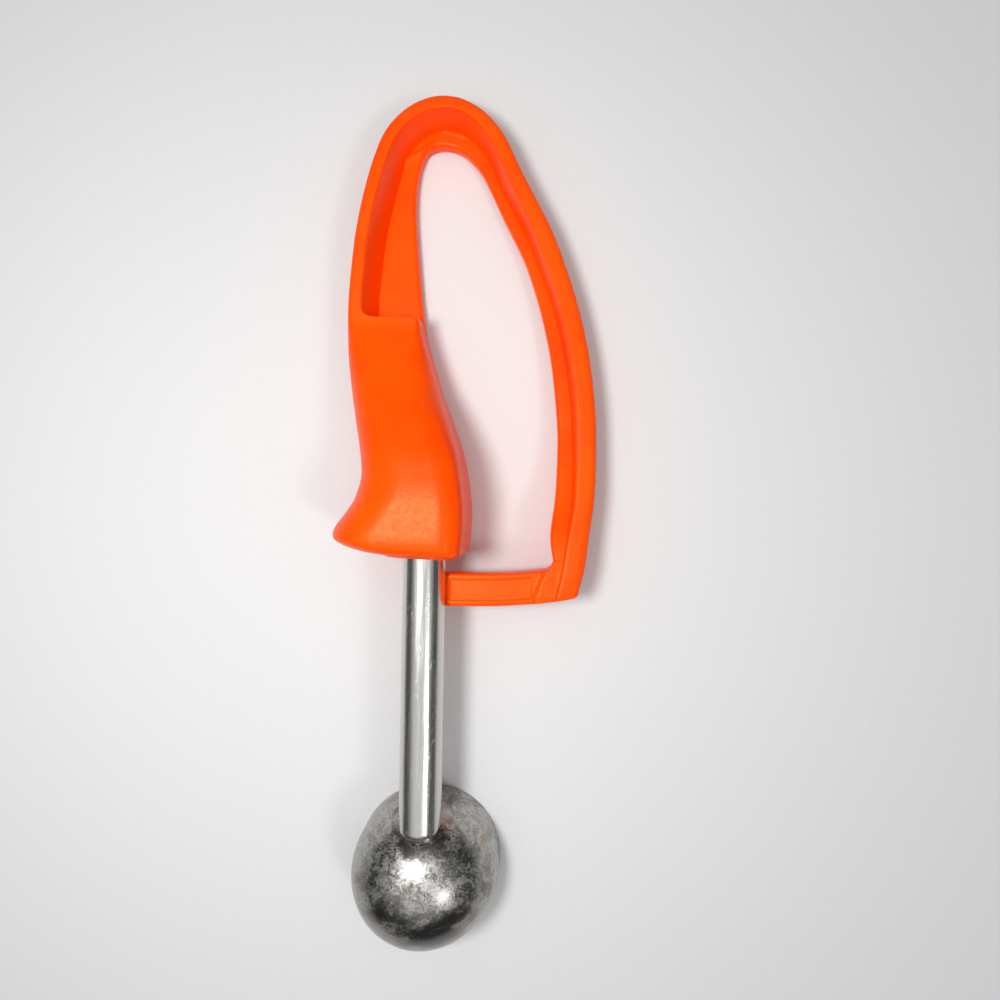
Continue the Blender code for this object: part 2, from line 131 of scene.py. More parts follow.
# The station where the lever begins, and how many stations its softer wall takes to fade in
LEVER_START = 25.0
LEVER_FADE = 3.0

# Round ends of the handle: radius, and the angle from which the grip's end is drawn
GRIP_END_ROUND = 1.6 * MM
GRIP_END_ANGLE = math.radians(45)
FOOT_ROUND = 0.8 * MM

# Each handle station, in millimetres: outer edge x, y, inner edge x, y, front height, web height,
# wall width, front corner radius, inner corner radius, back corner radius. A scratch script fitted
# most of the edge points to the photograph's outline and rounded them to 0.1 mm.
HANDLE_STATIONS = np.array([
    (-8.8, -12.3, 7.7, -12.85, DEPTH - 2.6, WEB, THIN, 6.5, 3.2, 3.0),
    (-12.8, -11.75, 8.5, -12.5, DEPTH - 1.2, WEB, THIN, 7.5, 3.8, 3.5),
    (-16.4, -10.75, 8.95, -11.7, DEPTH - 0.4, WEB, THIN, 8.5, 4.2, 4.0),
    (-19.2, -9.5, 9.1, -10.4, DEPTH - 0.1, WEB, THIN, 9.5, 4.4, 4.2),
    (-20.1, -8.0, 9.3, -8.6, DEPTH, WEB, THIN, 10.5, 4.5, 4.4),
    (-19.4, -6.0, 9.4, -6.8, DEPTH, WEB, THIN, 11.0, 4.6, 4.6),
    (-17.2, -3.0, 9.5, -3.3, DEPTH, WEB, THIN, 11.0, 4.7, 4.8),
    (-15.4, 0.0, 9.3, 0.0, DEPTH, WEB, THIN, 11.0, 4.8, 5.0),
    (-14.1, 5.0, 8.6, 5.0, DEPTH - 0.5, WEB, THIN, 10.5, 5.2, 5.2),
    (-14.6, 10.5, 7.5, 10.5, DEPTH - 1.5, WEB, THIN, 10.0, 5.8, 5.4),
    (-16.3, 18.0, 4.9, 18.0, DEPTH - 4.5, WEB, THIN, 9.0, 6.6, 5.4),
    (-17.9, 25.3, 2.1, 25.3, DEPTH - 8.5, WEB, THIN, 7.0, 7.0, 5.0),
    (-19.1, 32.9, -0.5, 32.9, WALL + 2.6, WEB, THIN, 4.5, 4.5, 3.0),
    (-19.5, 38.8, -2.3, 38.8, WALL + 0.4, WEB, THIN, 2.6, 2.0, 1.8),
    (-19.4, 41.8, -2.9, 41.8, WALL, WEB, THIN, 1.4, 1.0, 1.2),
    (-19.3, 47.0, -3.7, 47.0, WALL, WEB, THIN, 1.4, 1.0, 1.2),
    (-18.9, 52.5, -4.3, 52.5, WALL, WEB, THIN, 1.4, 1.0, 1.2),
    (-18.0, 61.4, -5.1, 61.2, WALL, WEB, THIN, 1.4, 1.0, 1.2),
    (-16.4, 70.2, -5.7, 69.7, WALL, WEB, THIN, 1.4, 1.0, 1.2),
    (-14.2, 79.3, -5.5, 76.7, WALL - 0.6, WEB, THIN, 1.4, 1.0, 1.2),
    (-11.5, 86.4, -4.6, 81.5, CROWN + 0.4, WEB, THIN, 1.4, 1.0, 1.2),
    (-7.0, 91.5, -3.1, 84.9, CROWN, WEB, THIN, 1.4, 1.0, 1.2),
    (-2.0, 94.1, -0.7, 86.2, CROWN, WEB, THIN, 1.4, 1.0, 1.2),
    (2.7, 94.7, 1.8, 86.3, CROWN, WEB, THIN, 1.4, 1.0, 1.2),
    (7.2, 93.7, 4.5, 85.6, CROWN, WEB, THIN, 1.4, 1.0, 1.2),
    (11.9, 90.8, 7.0, 84.0, CROWN, WEB, 3.2, 1.4, 1.0, 1.2),
    (16.3, 85.7, 10.3, 80.3, CROWN, WEB, 3.4, 1.5, 1.0, 1.2),
    (20.3, 77.8, 13.4, 74.4, CROWN, WEB, 3.7, 1.6, 1.0, 1.2),
    (24.3, 70.5, 16.1, 68.7, CROWN, WEB + 0.3, 4.0, 1.8, 1.0, 1.2),
    (27.7, 64.0, 19.3, 62.6, CROWN, WEB + 0.6, 4.2, 1.8, 1.0, 1.2),
    (30.5, 57.2, 22.2, 56.1, CROWN, WEB + 1.0, THICK, 1.8, 1.0, 1.2),
    (34.1, 46.7, 25.4, 46.1, CROWN, WEB + 1.5, THICK, 1.8, 1.0, 1.2),
    (36.9, 35.1, 27.9, 35.1, CROWN + 0.2, WEB + 2.0, THICK, 1.8, 1.0, 1.2),
    (38.5, 23.6, 29.4, 23.6, CROWN + 0.5, WEB + 2.6, THICK, 1.8, 1.0, 1.2),
    (39.0, 14.1, 30.0, 14.1, CROWN + 0.8, WEB + 3.2, THICK, 1.8, 1.0, 1.2),
    (38.8, 1.5, 29.7, 1.8, CROWN + 1.8, WEB + 5.6, THICK, 1.8, 1.0, 1.2),
    (37.5, -8.6, 28.6, -8.8, CROWN + 2.9, WEB + 9.6, 4.7, 1.8, 1.0, 1.2),
    (36.6, -15.6, 29.6, -16.6, ARM + 1.4, ARM + 0.7, 5.0, 1.8, 1.0, 1.2),
    (35.2, -21.4, 28.5, -22.7, ARM + 1.5, ARM + 0.7, 5.0, 1.8, 1.0, 1.2),
])


def catmull_rows(table, t):
    """Rows of a table read at fractional rows t, on the Catmull-Rom curve through them."""
    last = len(table) - 1
    i = np.clip(np.floor(t).astype(int), 0, last - 1)
    u = (t - i)[:, None]
    before = table[np.clip(i - 1, 0, last)]
    start = table[i]
    end = table[i + 1]
    after = table[np.clip(i + 2, 0, last)]
    return 0.5 * (
        2 * start
        + (end - before) * u
        + (2 * before - 5 * start + 4 * end - after) * u**2
        + (3 * start - before - 3 * end + after) * u**3
    )


def smooth_step(x):
    """0 below 0, 1 above 1, and 3x^2 - 2x^3 between."""
    x = np.clip(x, 0.0, 1.0)
    return x * x * (3 - 2 * x)


def grid_faces(rows, columns, wrap_columns=True):
    """Quads of a grid of vertices, row after row. Columns close on themselves if asked."""
    span = columns if wrap_columns else columns - 1
    r, c = np.meshgrid(np.arange(rows - 1), np.arange(span), indexing="ij")
    n = (c + 1) % columns
    low, high = r * columns, (r + 1) * columns
    return np.stack([low + c, low + n, high + n, high + c], -1).reshape(-1, 4)


def mesh_object(name, points, faces, caps=()):
    """A mesh object from an array of points, quads and further faces, shaded smooth."""
    mesh = bpy.data.meshes.new(name)
    mesh.from_pydata(points.reshape(-1, 3).tolist(), [], faces.tolist() + [list(c) for c in caps])
    mesh.validate()
    mesh.shade_smooth()
    made = bpy.data.objects.new(name, mesh)
    bpy.context.scene.collection.objects.link(made)
    return made


def face_outwards(made, merge=1e-6, sharp=40.0):
    """Merges doubles, turns all faces outwards and marks the edges sharper than an angle."""
    shape = bmesh.new()
    shape.from_mesh(made.data)
    bmesh.ops.remove_doubles(shape, verts=shape.verts[:], dist=merge)
    bmesh.ops.recalc_face_normals(shape, faces=shape.faces[:])
    shape.to_mesh(made.data)
    shape.free()
    made.data.shade_smooth()
    made.data.set_sharp_from_angle(angle=math.radians(sharp))


def corner(centre_a, centre_z, radius, start, end, count):
    """Points of a corner's arc, for every station at once: arrays of across and height."""
    angle = np.radians(np.linspace(start, end, count))[None, :]
    a = centre_a[:, None] + radius[:, None] * np.cos(angle)
    z = centre_z[:, None] + radius[:, None] * np.sin(angle)
    return a, z


def line_distance(x, y, line):
    """Distance of points from a bent line: the least over its straight parts."""
    best = np.full(x.shape, np.inf)
    for (x0, y0), (x1, y1) in zip(line, line[1:]):
        share = ((x - x0) * (x1 - x0) + (y - y0) * (y1 - y0)) / ((x1 - x0) ** 2 + (y1 - y0) ** 2)
        share = np.clip(share, 0, 1)
        best = np.minimum(best, np.hypot(x - x0 - share * (x1 - x0), y - y0 - share * (y1 - y0)))
    return best


def handle_surface():
    """The handle's skin: at each station an upright ring across the moulding, from its outer edge
    to its inner edge. Its front is flat on the wall, drops to the web's height along the wall's
    draft, and runs flat to the inner edge. The drop is a straight slope with a short parabola at
    its top, and fades into a smooth step along the lever. The grip has no drop: the pocket's floor
    sinks from its front by a smooth step at the pocket's start."""
    last = len(HANDLE_STATIONS) - 1
    t = np.unique(np.concatenate([
        np.linspace(0, last, 9 * last + 1),
        np.linspace(POCKET_STEP - 0.5 * POCKET_STEP_LENGTH, POCKET_STEP + 1.5, 60),
    ]))
    ox, oy, ix, iy, front, web, wall, rf, ri, rb = catmull_rows(HANDLE_STATIONS, t).T
    pocket = smooth_step((t - POCKET_STEP) / POCKET_STEP_LENGTH)
    floor = front + (web - front) * pocket
    width = np.hypot(ix - ox, iy - oy)
    from_end = np.clip((oy - POCKET_START) / POCKET_CORNER, 0, 1)
    rounded = np.where(t < POCKET_CORNER_LAST, 1 - np.sqrt(1 - (1 - from_end) ** 2), 0.0)
    edge = np.maximum(wall, rf + 0.3) + POCKET_CORNER * rounded * (t > POCKET_STEP)
    end = width - ri
    draft = WALL_SLOPE + WALL_DRAFT * (front - floor)
    parts = [corner(rb, rb, rb, 270, 180, 8), corner(rf, front - rf, rf, 180, 90, 10)]
    k = np.concatenate([np.linspace(0, 1, 4)[1:-1], [1.0]])
    top_a = rf[:, None] + (edge - rf)[:, None] * k[None, :]
    drop = np.linspace(0, 1, 16)[1:]
    wall_a = edge[:, None] + draft[:, None] * drop[None, :]
    rest = np.linspace(0, 1, 15)[1:-1]
    web_a = (edge + draft)[:, None] + (end - edge - draft)[:, None] * rest[None, :]
    across = np.concatenate([top_a, wall_a, web_a], 1)
    down = np.clip((across - edge[:, None]) / draft[:, None], 0, 1)
    crisp = np.where(down < WALL_ROUND, 0.5 * down**2 / WALL_ROUND, down - 0.5 * WALL_ROUND)
    crisp = crisp / (1 - 0.5 * WALL_ROUND)
    soft = smooth_step((t - LEVER_START) / LEVER_FADE)[:, None]
    fall = crisp + (smooth_step(down) - crisp) * soft
    height = front[:, None] + (floor - front)[:, None] * fall
    parts.append((across, height))
    parts.append(corner(end, floor - ri, ri, 90, 0, 8))
    parts.append(corner(width - rb, rb, rb, 0, -90, 8))
    a = np.concatenate([p[0] for p in parts], 1)
    z = np.concatenate([p[1] for p in parts], 1)
    x = ox[:, None] + (ix - ox)[:, None] * a / width[:, None]
    y = oy[:, None] + (iy - oy)[:, None] * a / width[:, None]
    on_web = (z > WEB - WEB_TOLERANCE) & (z < WEB + WEB_TOLERANCE) & (pocket[:, None] > 0.5)
    for ridge, size in ((LONG_RIDGE, LONG_RIDGE_HEIGHT), (SHORT_RIDGE, SHORT_RIDGE_HEIGHT)):
        z = z + on_web * size * np.exp(-((line_distance(x, y, ridge) / RIDGE_WIDTH) ** 2))
    return np.stack([x, y, z], -1) * MM


def rounded_end(ring, away, radius, first, count=6):
    """Rings that close an end of the handle with a round edge: the part of a quarter-circle from the
    angle first to upright, drawn in towards the ring's middle as it moves along away."""
    middle = ring.mean(0)
    inward = middle - ring
    reach = np.linalg.norm(inward, axis=1, keepdims=True)
    inward = inward / reach
    angle = np.linspace(first, math.pi / 2, count + 1)[1:]
    return [
        ring
        + inward * radius * (math.cos(first) - math.cos(a))
        + np.asarray(away) * radius * (math.sin(a) - math.sin(first))
        for a in angle
    ]


def handle_moulding(plastic):
    """Grip, loop and lever as one skin that curves round at the crown."""
    rings = list(handle_surface())
    low = rounded_end(rings[0], (0.03, -1.0, 0.0), GRIP_END_ROUND, GRIP_END_ANGLE)
    high = rounded_end(rings[-1], (-0.22, -0.97, 0.0), FOOT_ROUND, 0.0, 4)
    rings = low[::-1] + rings + high
    points = np.array(rings)
    rows, columns = points.shape[:2]
    ends = [list(range(columns)), list(range((rows - 1) * columns, rows * columns))]
    made = mesh_object("handle_moulding", points, grid_faces(rows, columns), ends)
    face_outwards(made)
    made.data.materials.append(plastic)
    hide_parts("handle_grip", "squeeze_lever")
    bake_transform(made)


def arm_bow(x):
    """How far the arm has bowed towards the crown at x: nothing at first, then the square of the
    way along."""
    return ARM_BOW * np.maximum(x - ARM_BOW_START, 0.0) ** 2


def arm_front(x, y):
    """The arm's front height, with y counted from the straight arm: flat, with a shallow panel sunk
    into it, a slanted step up to the lever, and rack teeth in a narrow strip at its end."""
    soft = PANEL_SOFTNESS
    inside_x = smooth_step((x - PANEL_LEFT) / soft) * smooth_step((PANEL_RIGHT - x) / soft)
    inside_y = smooth_step((y - ARM_BOTTOM_EDGE - PANEL_MARGIN) / soft)
    inside_y = inside_y * smooth_step((ARM_TOP_EDGE - PANEL_MARGIN - y) / soft)
    strip = smooth_step((RACK_HALF_WIDTH - np.abs(y - ARM_MIDDLE)) / RACK_END_SOFTNESS)
    phase = np.abs((x / TOOTH_PITCH) % 1.0 - 0.5)
    tooth = np.clip((TOOTH_ROOT - phase) / TOOTH_FLANK, 0, 1)
    tooth = tooth * (x < LAST_TOOTH * TOOTH_PITCH) * (x > FIRST_TOOTH * TOOTH_PITCH)
    step = smooth_step((x - RIB_X - RIB_SLANT * (y - ARM_TOP_EDGE)) / RIB_WIDTH)
    height = ARM_FRONT - PANEL_DEPTH * inside_x * inside_y + RIB_HEIGHT * step
    return height + (TOOTH_TOP - ARM_FRONT) * strip * tooth


def lever_arm(plastic):
    """The arm: a bar along X with quarter-circle edges, whose front height is arm_front. It bows by
    arm_bow, and its upper edge rises into the lever by a quarter-circle fillet."""
    arc, across = 6, 42
    x = np.concatenate([
        np.linspace(ARM_TIP, RACK_END, 150),
        np.linspace(RACK_END, ARM_ROOT, 120)[1:],
    ])
    radius = ARM_ROUND
    back = ARM_FRONT - ARM_THICKNESS
    arc_angle = np.linspace(0, math.pi / 2, arc)
    flat = np.linspace(ARM_BOTTOM_EDGE + radius, ARM_TOP_EDGE - radius, across + 2)
    y = np.concatenate([
        ARM_BOTTOM_EDGE + radius * (1 - np.sin(arc_angle)),
        ARM_BOTTOM_EDGE + radius * (1 - np.cos(arc_angle)),
        flat[1:-1],
        ARM_TOP_EDGE - radius * (1 - np.sin(arc_angle)),
        ARM_TOP_EDGE - radius * (1 - np.cos(arc_angle)),
    ])
    z_back = radius * (1 - np.cos(arc_angle))
    z_front = -radius * (1 - np.sin(arc_angle))
    lift = np.concatenate([back + z_back, np.zeros(2 * arc + across), back + z_back[::-1]])
    drop = np.concatenate([np.zeros(arc), z_front, np.zeros(across), z_front[::-1], np.zeros(arc)])
    front_row = np.concatenate([np.zeros(arc), np.ones(2 * arc + across), np.zeros(arc)])
    xx, yy = np.meshgrid(x, y, indexing="ij")
    zz = front_row * (arm_front(xx, yy) + drop) + (1 - front_row) * lift
    into = np.clip((xx - FILLET_X) / FILLET, 0, 1)
    fillet = FILLET * (1 - np.sqrt(1 - into**2))
    share = (yy - ARM_BOTTOM_EDGE) / (ARM_TOP_EDGE - ARM_BOTTOM_EDGE)
    yy = yy + arm_bow(xx) + fillet * share
    points = np.stack([xx, yy, zz], -1)
    rows, columns = points.shape[:2]
    ends = [list(range(columns)), list(range((rows - 1) * columns, rows * columns))]
    made = mesh_object("lever_arm", points, grid_faces(rows, columns), ends)
    face_outwards(made)
    made.data.materials.append(plastic)
    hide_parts("squeeze_lever")
    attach(made, "lever")


def stem_tube(steel):
    """The tube: a round sheet from the grip to the bowl, cut square where it clears the dome and to
    the dome's curve below, with the arm's slot left open at its back."""
    slot_low = ARM_BOTTOM_EDGE - SLOT_PLAY
    slot_high = ARM_TOP_EDGE + SLOT_PLAY
    slot_angle = math.acos((SLOT_HEIGHT - STEM_HEIGHT) / TUBE_RADIUS)
    count = 96
    angle = np.linspace(-math.pi, math.pi, count, endpoint=False)
    nearest = np.argmin(np.abs(np.abs(angle)[:, None] - slot_angle), 0)[0]
    reach = abs(angle[nearest])
    x = TUBE_RADIUS * np.sin(angle)
    z = STEM_HEIGHT + TUBE_RADIUS * np.cos(angle)
    dome = (BOWL_RADIUS + TUBE_CLEARS_DOME) ** 2 - x**2 - (z - BOWL_SKIRT) ** 2
    end = np.maximum(TUBE_END, BOWL_Y + np.sqrt(np.maximum(dome, 0)))
    along = np.concatenate([[0, 0.004], np.linspace(0.01, 1, 30)])
    lower = slot_low + (end - slot_low)[None, :] * along[::-1, None]
    upper = np.concatenate([
        np.linspace(slot_low, slot_high, 6)[1:],
        np.linspace(slot_high, TUBE_TOP, 10)[1:],
    ])
    y = np.concatenate([lower, np.repeat(upper[:, None], count, 1)])
    points = np.stack([np.repeat(x[None, :], len(y), 0), y, np.repeat(z[None, :], len(y), 0)], -1)
    faces = grid_faces(len(y), count)
    middle = points.reshape(-1, 3)[faces].mean(1)
    face_angle = np.abs(np.arctan2(middle[:, 0], middle[:, 2] - STEM_HEIGHT))
    in_slot = (middle[:, 1] > slot_low) & (middle[:, 1] < slot_high) & (face_angle > reach)
    made = mesh_object("polished_tube", points, faces[~in_slot][:, ::-1])
    wall = made.modifiers.new("wall", "SOLIDIFY")
    wall.thickness = TUBE_WALL
    wall.offset = -1.0
    made.data.materials.append(steel)
    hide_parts("stem_tube")
    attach(made, "scoop")


def bowl_shell(steel):
    """The bowl: a profile turned about its upright axis, up the outside from the rolled rim, over
    the dome and down the inside. The inside has a shallow round recess for the wiper's tip, which
    fades out by a smooth step."""
    rise = np.linspace(0, math.pi / 2, 56)
    outer_r = BOWL_RADIUS * np.cos(rise)
    outer_z = BOWL_SKIRT + BOWL_RADIUS * np.sin(rise)
    inner = BOWL_RADIUS - BOWL_WALL
    inner_r = inner * np.cos(rise[::-1])
    inner_z = BOWL_SKIRT + inner * np.sin(rise[::-1])
    bead = 0.5 * BOWL_WALL + RIM_SWELL
    turn = np.linspace(math.radians(-200), math.radians(20), 14)
    bead_r = BOWL_RADIUS - 0.5 * BOWL_WALL + bead * np.cos(turn)
    bead_z = bead + bead * np.sin(turn)
    profile_r = np.concatenate([bead_r, [BOWL_RADIUS] * 6, outer_r, inner_r, [inner] * 6])
    straight = np.linspace(2.2 * bead, BOWL_SKIRT, 7)[:-1]
    profile_z = np.concatenate([bead_z, straight, outer_z, inner_z, straight[::-1]])
    count = 160
    angle = np.linspace(0, 2 * math.pi, count, endpoint=False)
    x = profile_r[:, None] * np.cos(angle)[None, :]
    y = BOWL_Y + profile_r[:, None] * np.sin(angle)[None, :]
    z = np.repeat(profile_z[:, None], count, 1)
    points = np.stack([x, y, z], -1)
    dome_rows = slice(len(bead_r) + 6 + len(rise), len(bead_r) + 6 + 2 * len(rise))
    middle = np.array([0.0, BOWL_Y, BOWL_SKIRT])
    across = STEM_HEIGHT - BOWL_SKIRT
    seat = middle + np.array([0.0, -math.sqrt(inner**2 - across**2), across])
    inside = points[dome_rows]
    from_seat = np.linalg.norm(inside - seat, axis=-1, keepdims=True)
    outward = (inside - middle) / np.linalg.norm(inside - middle, axis=-1, keepdims=True)
    points[dome_rows] += outward * RECESS_DEPTH * smooth_step(2.0 - from_seat / RECESS_RADIUS)
    rows = len(profile_r)
    faces = grid_faces(rows, count)
    closing = grid_faces(2, count)
    closing = np.where(closing >= count, closing - count, closing + (rows - 1) * count)
    made = mesh_object("bowl_shell", points, np.concatenate([faces, closing]))
    face_outwards(made, merge=1e-5)
    made.data.materials.append(steel)
    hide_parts("bowl")
    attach(made, "scoop")


def weld_bead(steel):
    """The brazed seam: a thin round bead along the line where the tube meets the dome."""
    count, around = 120, 10
    angle = np.linspace(0, 2 * math.pi, count, endpoint=False)
    radius = TUBE_RADIUS + SEAM_OFFSET
    x = radius * np.sin(angle)
    z = STEM_HEIGHT + radius * np.cos(angle)
    dome = BOWL_RADIUS**2 - x**2 - (z - BOWL_SKIRT) ** 2
    y = np.maximum(TUBE_END, BOWL_Y + np.sqrt(np.maximum(dome, 0)))
    turn = np.linspace(0, 2 * math.pi, around, endpoint=False)
    size = (0.32 + 0.05 * np.sin(9 * angle) + 0.04 * np.sin(17 * angle + 1))[:, None] * MM
    out = np.stack([np.sin(angle), np.zeros(count), np.cos(angle)], -1)
    points = (
        np.stack([x, y, z], -1)[:, None, :]
        + out[:, None, :] * (size * np.cos(turn))[..., None]
        + np.array([0.0, 1.0, 0.0]) * (size * np.sin(turn))[..., None]
    )
    r, c = np.meshgrid(np.arange(count), np.arange(around), indexing="ij")
    n, m = (r + 1) % count, (c + 1) % around
    faces = np.stack([r * around + c, r * around + m, n * around + m, n * around + c], -1).reshape(-1, 4)
    made = mesh_object("brazed_seam", points, faces)
    face_outwards(made)
    made.data.materials.append(steel)
    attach(made, "scoop")


RANGE_ENDS = ("From Min", "From Max", "To Min", "To Max")


class Nodes:
    """A material's node tree, with short calls to add nodes and link them."""

    def __init__(self, name):
        self.material = bpy.data.materials.new(name)
        self.material.use_nodes = True
        self.tree = self.material.node_tree
        self.shader = self.tree.nodes["Principled BSDF"]

    def add(self, kind, settings=None, **inputs):
        node = self.tree.nodes.new(kind)
        for key, value in (settings or {}).items():
            setattr(node, key, value)
        for key, value in inputs.items():
            self.put(node, key.replace("_", " "), value)
        return node

    def put(self, node, key, value):
        socket = node.inputs[int(key)] if key.isdigit() else node.inputs[key]
        if isinstance(value, bpy.types.NodeSocket):
            self.tree.links.new(value, socket)
        else:
            socket.default_value = value

    def coordinates(self, scale=(1, 1, 1)):
        where = self.add("ShaderNodeTexCoord").outputs["Object"]
        return self.add("ShaderNodeMapping", Vector=where, Scale=scale).outputs["Vector"]

    def noise(self, vector, scale, detail=4.0, roughness=0.55, distortion=0.0):
        node = self.add("ShaderNodeTexNoise", Vector=vector, Scale=scale, Detail=detail)
        node.inputs["Roughness"].default_value = roughness
        node.inputs["Distortion"].default_value = distortion
        return node.outputs["Fac"]

    def ramp(self, value, low, high, out_low=0.0, out_high=1.0):
        node = self.add("ShaderNodeMapRange", {"interpolation_type": "SMOOTHSTEP"}, Value=value)
        for key, number in zip(RANGE_ENDS, (low, high, out_low, out_high)):
            node.inputs[key].default_value = number
        return node.outputs["Result"]

    def math(self, operation, a, b):
        node = self.add("ShaderNodeMath", {"operation": operation})
        self.put(node, "0", a)
        self.put(node, "1", b)
        return node.outputs[0]

    def mix(self, factor, a, b):
        node = self.add("ShaderNodeMix", {"data_type": "RGBA"})
        self.put(node, "0", factor)
        self.put(node, "6", a)
        self.put(node, "7", b)
        return node.outputs[2]

    def bump(self, height, distance, strength=1.0, normal=None):
        node = self.add("ShaderNodeBump", Height=height, Distance=distance, Strength=strength)
        if normal is not None:
            self.put(node, "Normal", normal)
        return node.outputs["Normal"]


def orange_plastic():
    """Moulded orange plastic: even colour with faint clouds, and a fine pebbled skin."""
    n = Nodes("orange_plastic")
    where = n.coordinates()
    clouds = n.ramp(n.noise(where, 60.0, 3.0), 0.3, 0.7)
    colour = n.mix(clouds, (1.0, 0.066, 0.0, 1.0), (1.0, 0.088, 0.0, 1.0))
    n.put(n.shader, "Base Color", colour)
    grain = n.noise(where, 1500.0, 3.0)
    waves = n.noise(where, 220.0, 2.0)
    normal = n.bump(grain, 0.00005, 0.7)
    normal = n.bump(waves, 0.00005, 0.08, normal)
    n.put(n.shader, "Normal", normal)
    n.put(n.shader, "Roughness", n.ramp(n.noise(where, 900.0, 3.0), 0.3, 0.7, 0.3, 0.37))
    n.shader.inputs["Subsurface Weight"].default_value = 0.25
    n.shader.inputs["Subsurface Radius"].default_value = (1.0, 0.12, 0.02)
    n.shader.inputs["Subsurface Scale"].default_value = 0.0025
    n.shader.inputs["Specular IOR Level"].default_value = 0.22
    n.shader.inputs["Specular Tint"].default_value = (1.0, 0.72, 0.34, 1.0)
    return n.material


def tube_steel():
    """Polished tube: mirror steel with fine lengthwise polish lines and a few scratches."""
    n = Nodes("tube_steel")
    lines = n.noise(n.coordinates((1.0, 0.03, 1.0)), 2600.0, 3.0)
    scratches = n.ramp(n.noise(n.coordinates((1.0, 0.25, 1.0)), 900.0, 4.0, 0.6, 1.5), 0.62, 0.72)
    n.put(n.shader, "Base Color", n.mix(scratches, (0.6, 0.59, 0.56, 1.0), (0.85, 0.83, 0.8, 1.0)))
    rough = n.math("ADD", n.ramp(lines, 0.3, 0.7, 0.14, 0.3), n.math("MULTIPLY", scratches, 0.25))
    n.put(n.shader, "Roughness", rough)
    n.put(n.shader, "Normal", n.bump(lines, 0.000004, 0.4))
    n.shader.inputs["Metallic"].default_value = 1.0
    return n.material


def bowl_steel():
    """Scuffed bowl: dark mirror steel with faint brown stains, pale scuffs in cloudy, speckled patches,
    and short fine scratches. The pale patches thin out towards the far side, leaving it darker."""
    n = Nodes("bowl_steel")
    where = n.coordinates()
    along = n.add("ShaderNodeSeparateXYZ", Vector=where).outputs["Y"]
    # Fewer pale patches towards the far side, which leaves that side of the bowl darker.
    far_side_fade = n.ramp(along, -0.1055, -0.0965, -0.16, 0.04)
    clouds = n.ramp(n.math("ADD", n.noise(where, 110.0, 5.0, 0.65, 0.6), far_side_fade), 0.4, 0.56)
    speckle = n.ramp(n.noise(where, 2600.0, 5.0, 0.75), 0.36, 0.66)
    patches = n.ramp(n.noise(where, 480.0, 6.0, 0.72, 1.0), 0.44, 0.56)
    grains = n.math("ADD", n.math("MULTIPLY", speckle, 0.6), n.math("MULTIPLY", patches, 0.4))
    mottle = n.math("MULTIPLY", clouds, grains)
    marks = n.ramp(n.noise(n.coordinates((1.0, 0.2, 0.6)), 1400.0, 3.0, 0.6, 2.0), 0.6, 0.7)
    stain = n.ramp(n.noise(where, 160.0, 3.0), 0.5, 0.68)
    dark = n.mix(stain, (0.17, 0.164, 0.158, 1.0), (0.27, 0.22, 0.18, 1.0))
    n.put(n.shader, "Base Color", n.mix(mottle, dark, (0.62, 0.61, 0.58, 1.0)))
    rough = n.math("ADD", n.math("MULTIPLY", mottle, 0.36), n.math("MULTIPLY", marks, 0.12))
    n.put(n.shader, "Roughness", n.math("ADD", rough, 0.16))
    n.put(n.shader, "Normal", n.bump(n.math("ADD", speckle, marks), 0.00001, 0.5))
    n.shader.inputs["Metallic"].default_value = 1.0
    return n.material


def plain_metal(name, colour, roughness, scale):
    """Turned or rolled metal with faint machining lines."""
    n = Nodes(name)
    lines = n.noise(n.coordinates((1.0, 0.1, 1.0)), scale, 3.0)
    darker = tuple(0.8 * c for c in colour)
    n.put(n.shader, "Base Color", n.mix(lines, (*darker, 1.0), (*colour, 1.0)))
    n.put(n.shader, "Roughness", n.ramp(lines, 0.3, 0.7, roughness, roughness + 0.12))
    n.put(n.shader, "Normal", n.bump(lines, 0.00001, 0.4))
    n.shader.inputs["Metallic"].default_value = 1.0
    return n.material


def dress_cad_nodes():
    """Gives the CAD nodes that stay their own finishes."""
    shaft = plain_metal("shaft_steel", (0.62, 0.62, 0.61), 0.28, 1800.0)
    brass = plain_metal("bush_brass", (0.75, 0.55, 0.26), 0.3, 1500.0)
    finishes = {
        "drive_shaft": shaft,
        "wiper_blade": shaft,
        "pivot_rivet": shaft,
        "upper_bush": brass,
        "lower_bush": brass,
    }
    for name, finish in finishes.items():
        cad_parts[name].data.materials.clear()
        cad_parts[name].data.materials.append(finish)


def light(name, place, target, size, power):
    """A round area lamp that faces a point."""
    data = bpy.data.lights.new(name, "AREA")
    data.shape = "DISK"
    data.size = size
    data.energy = power
    lamp = bpy.data.objects.new(name, data)
    bpy.context.scene.collection.objects.link(lamp)
    lamp.location = place
    direction = np.asarray(target, float) - np.asarray(place, float)
    lamp.rotation_euler = Vector(direction).to_track_quat("-Z", "Y").to_euler()


# The floor's half width and its drop below the scoop
FLOOR_HALF = 1.5
FLOOR_DROP = 0.1 * MM

# The backdrop's strength for camera rays, and the sky that lights the scene: from the height Z of a
# direction at which it starts to brighten to straight up, and its strengths there
BACKDROP = 0.72
SKY = (0.35, 1.0, 0.1, 0.85)

# Each lamp: place, the point it faces, size and power
KEY_LAMP = ((-0.046, 0.0, 0.24), (0.0, 0.0, 0.01), 0.06, 0.42)
FILL_LAMP = ((0.9, -0.6, 1.35), (0.0, 0.0, 0.0), 0.36, 4.5)


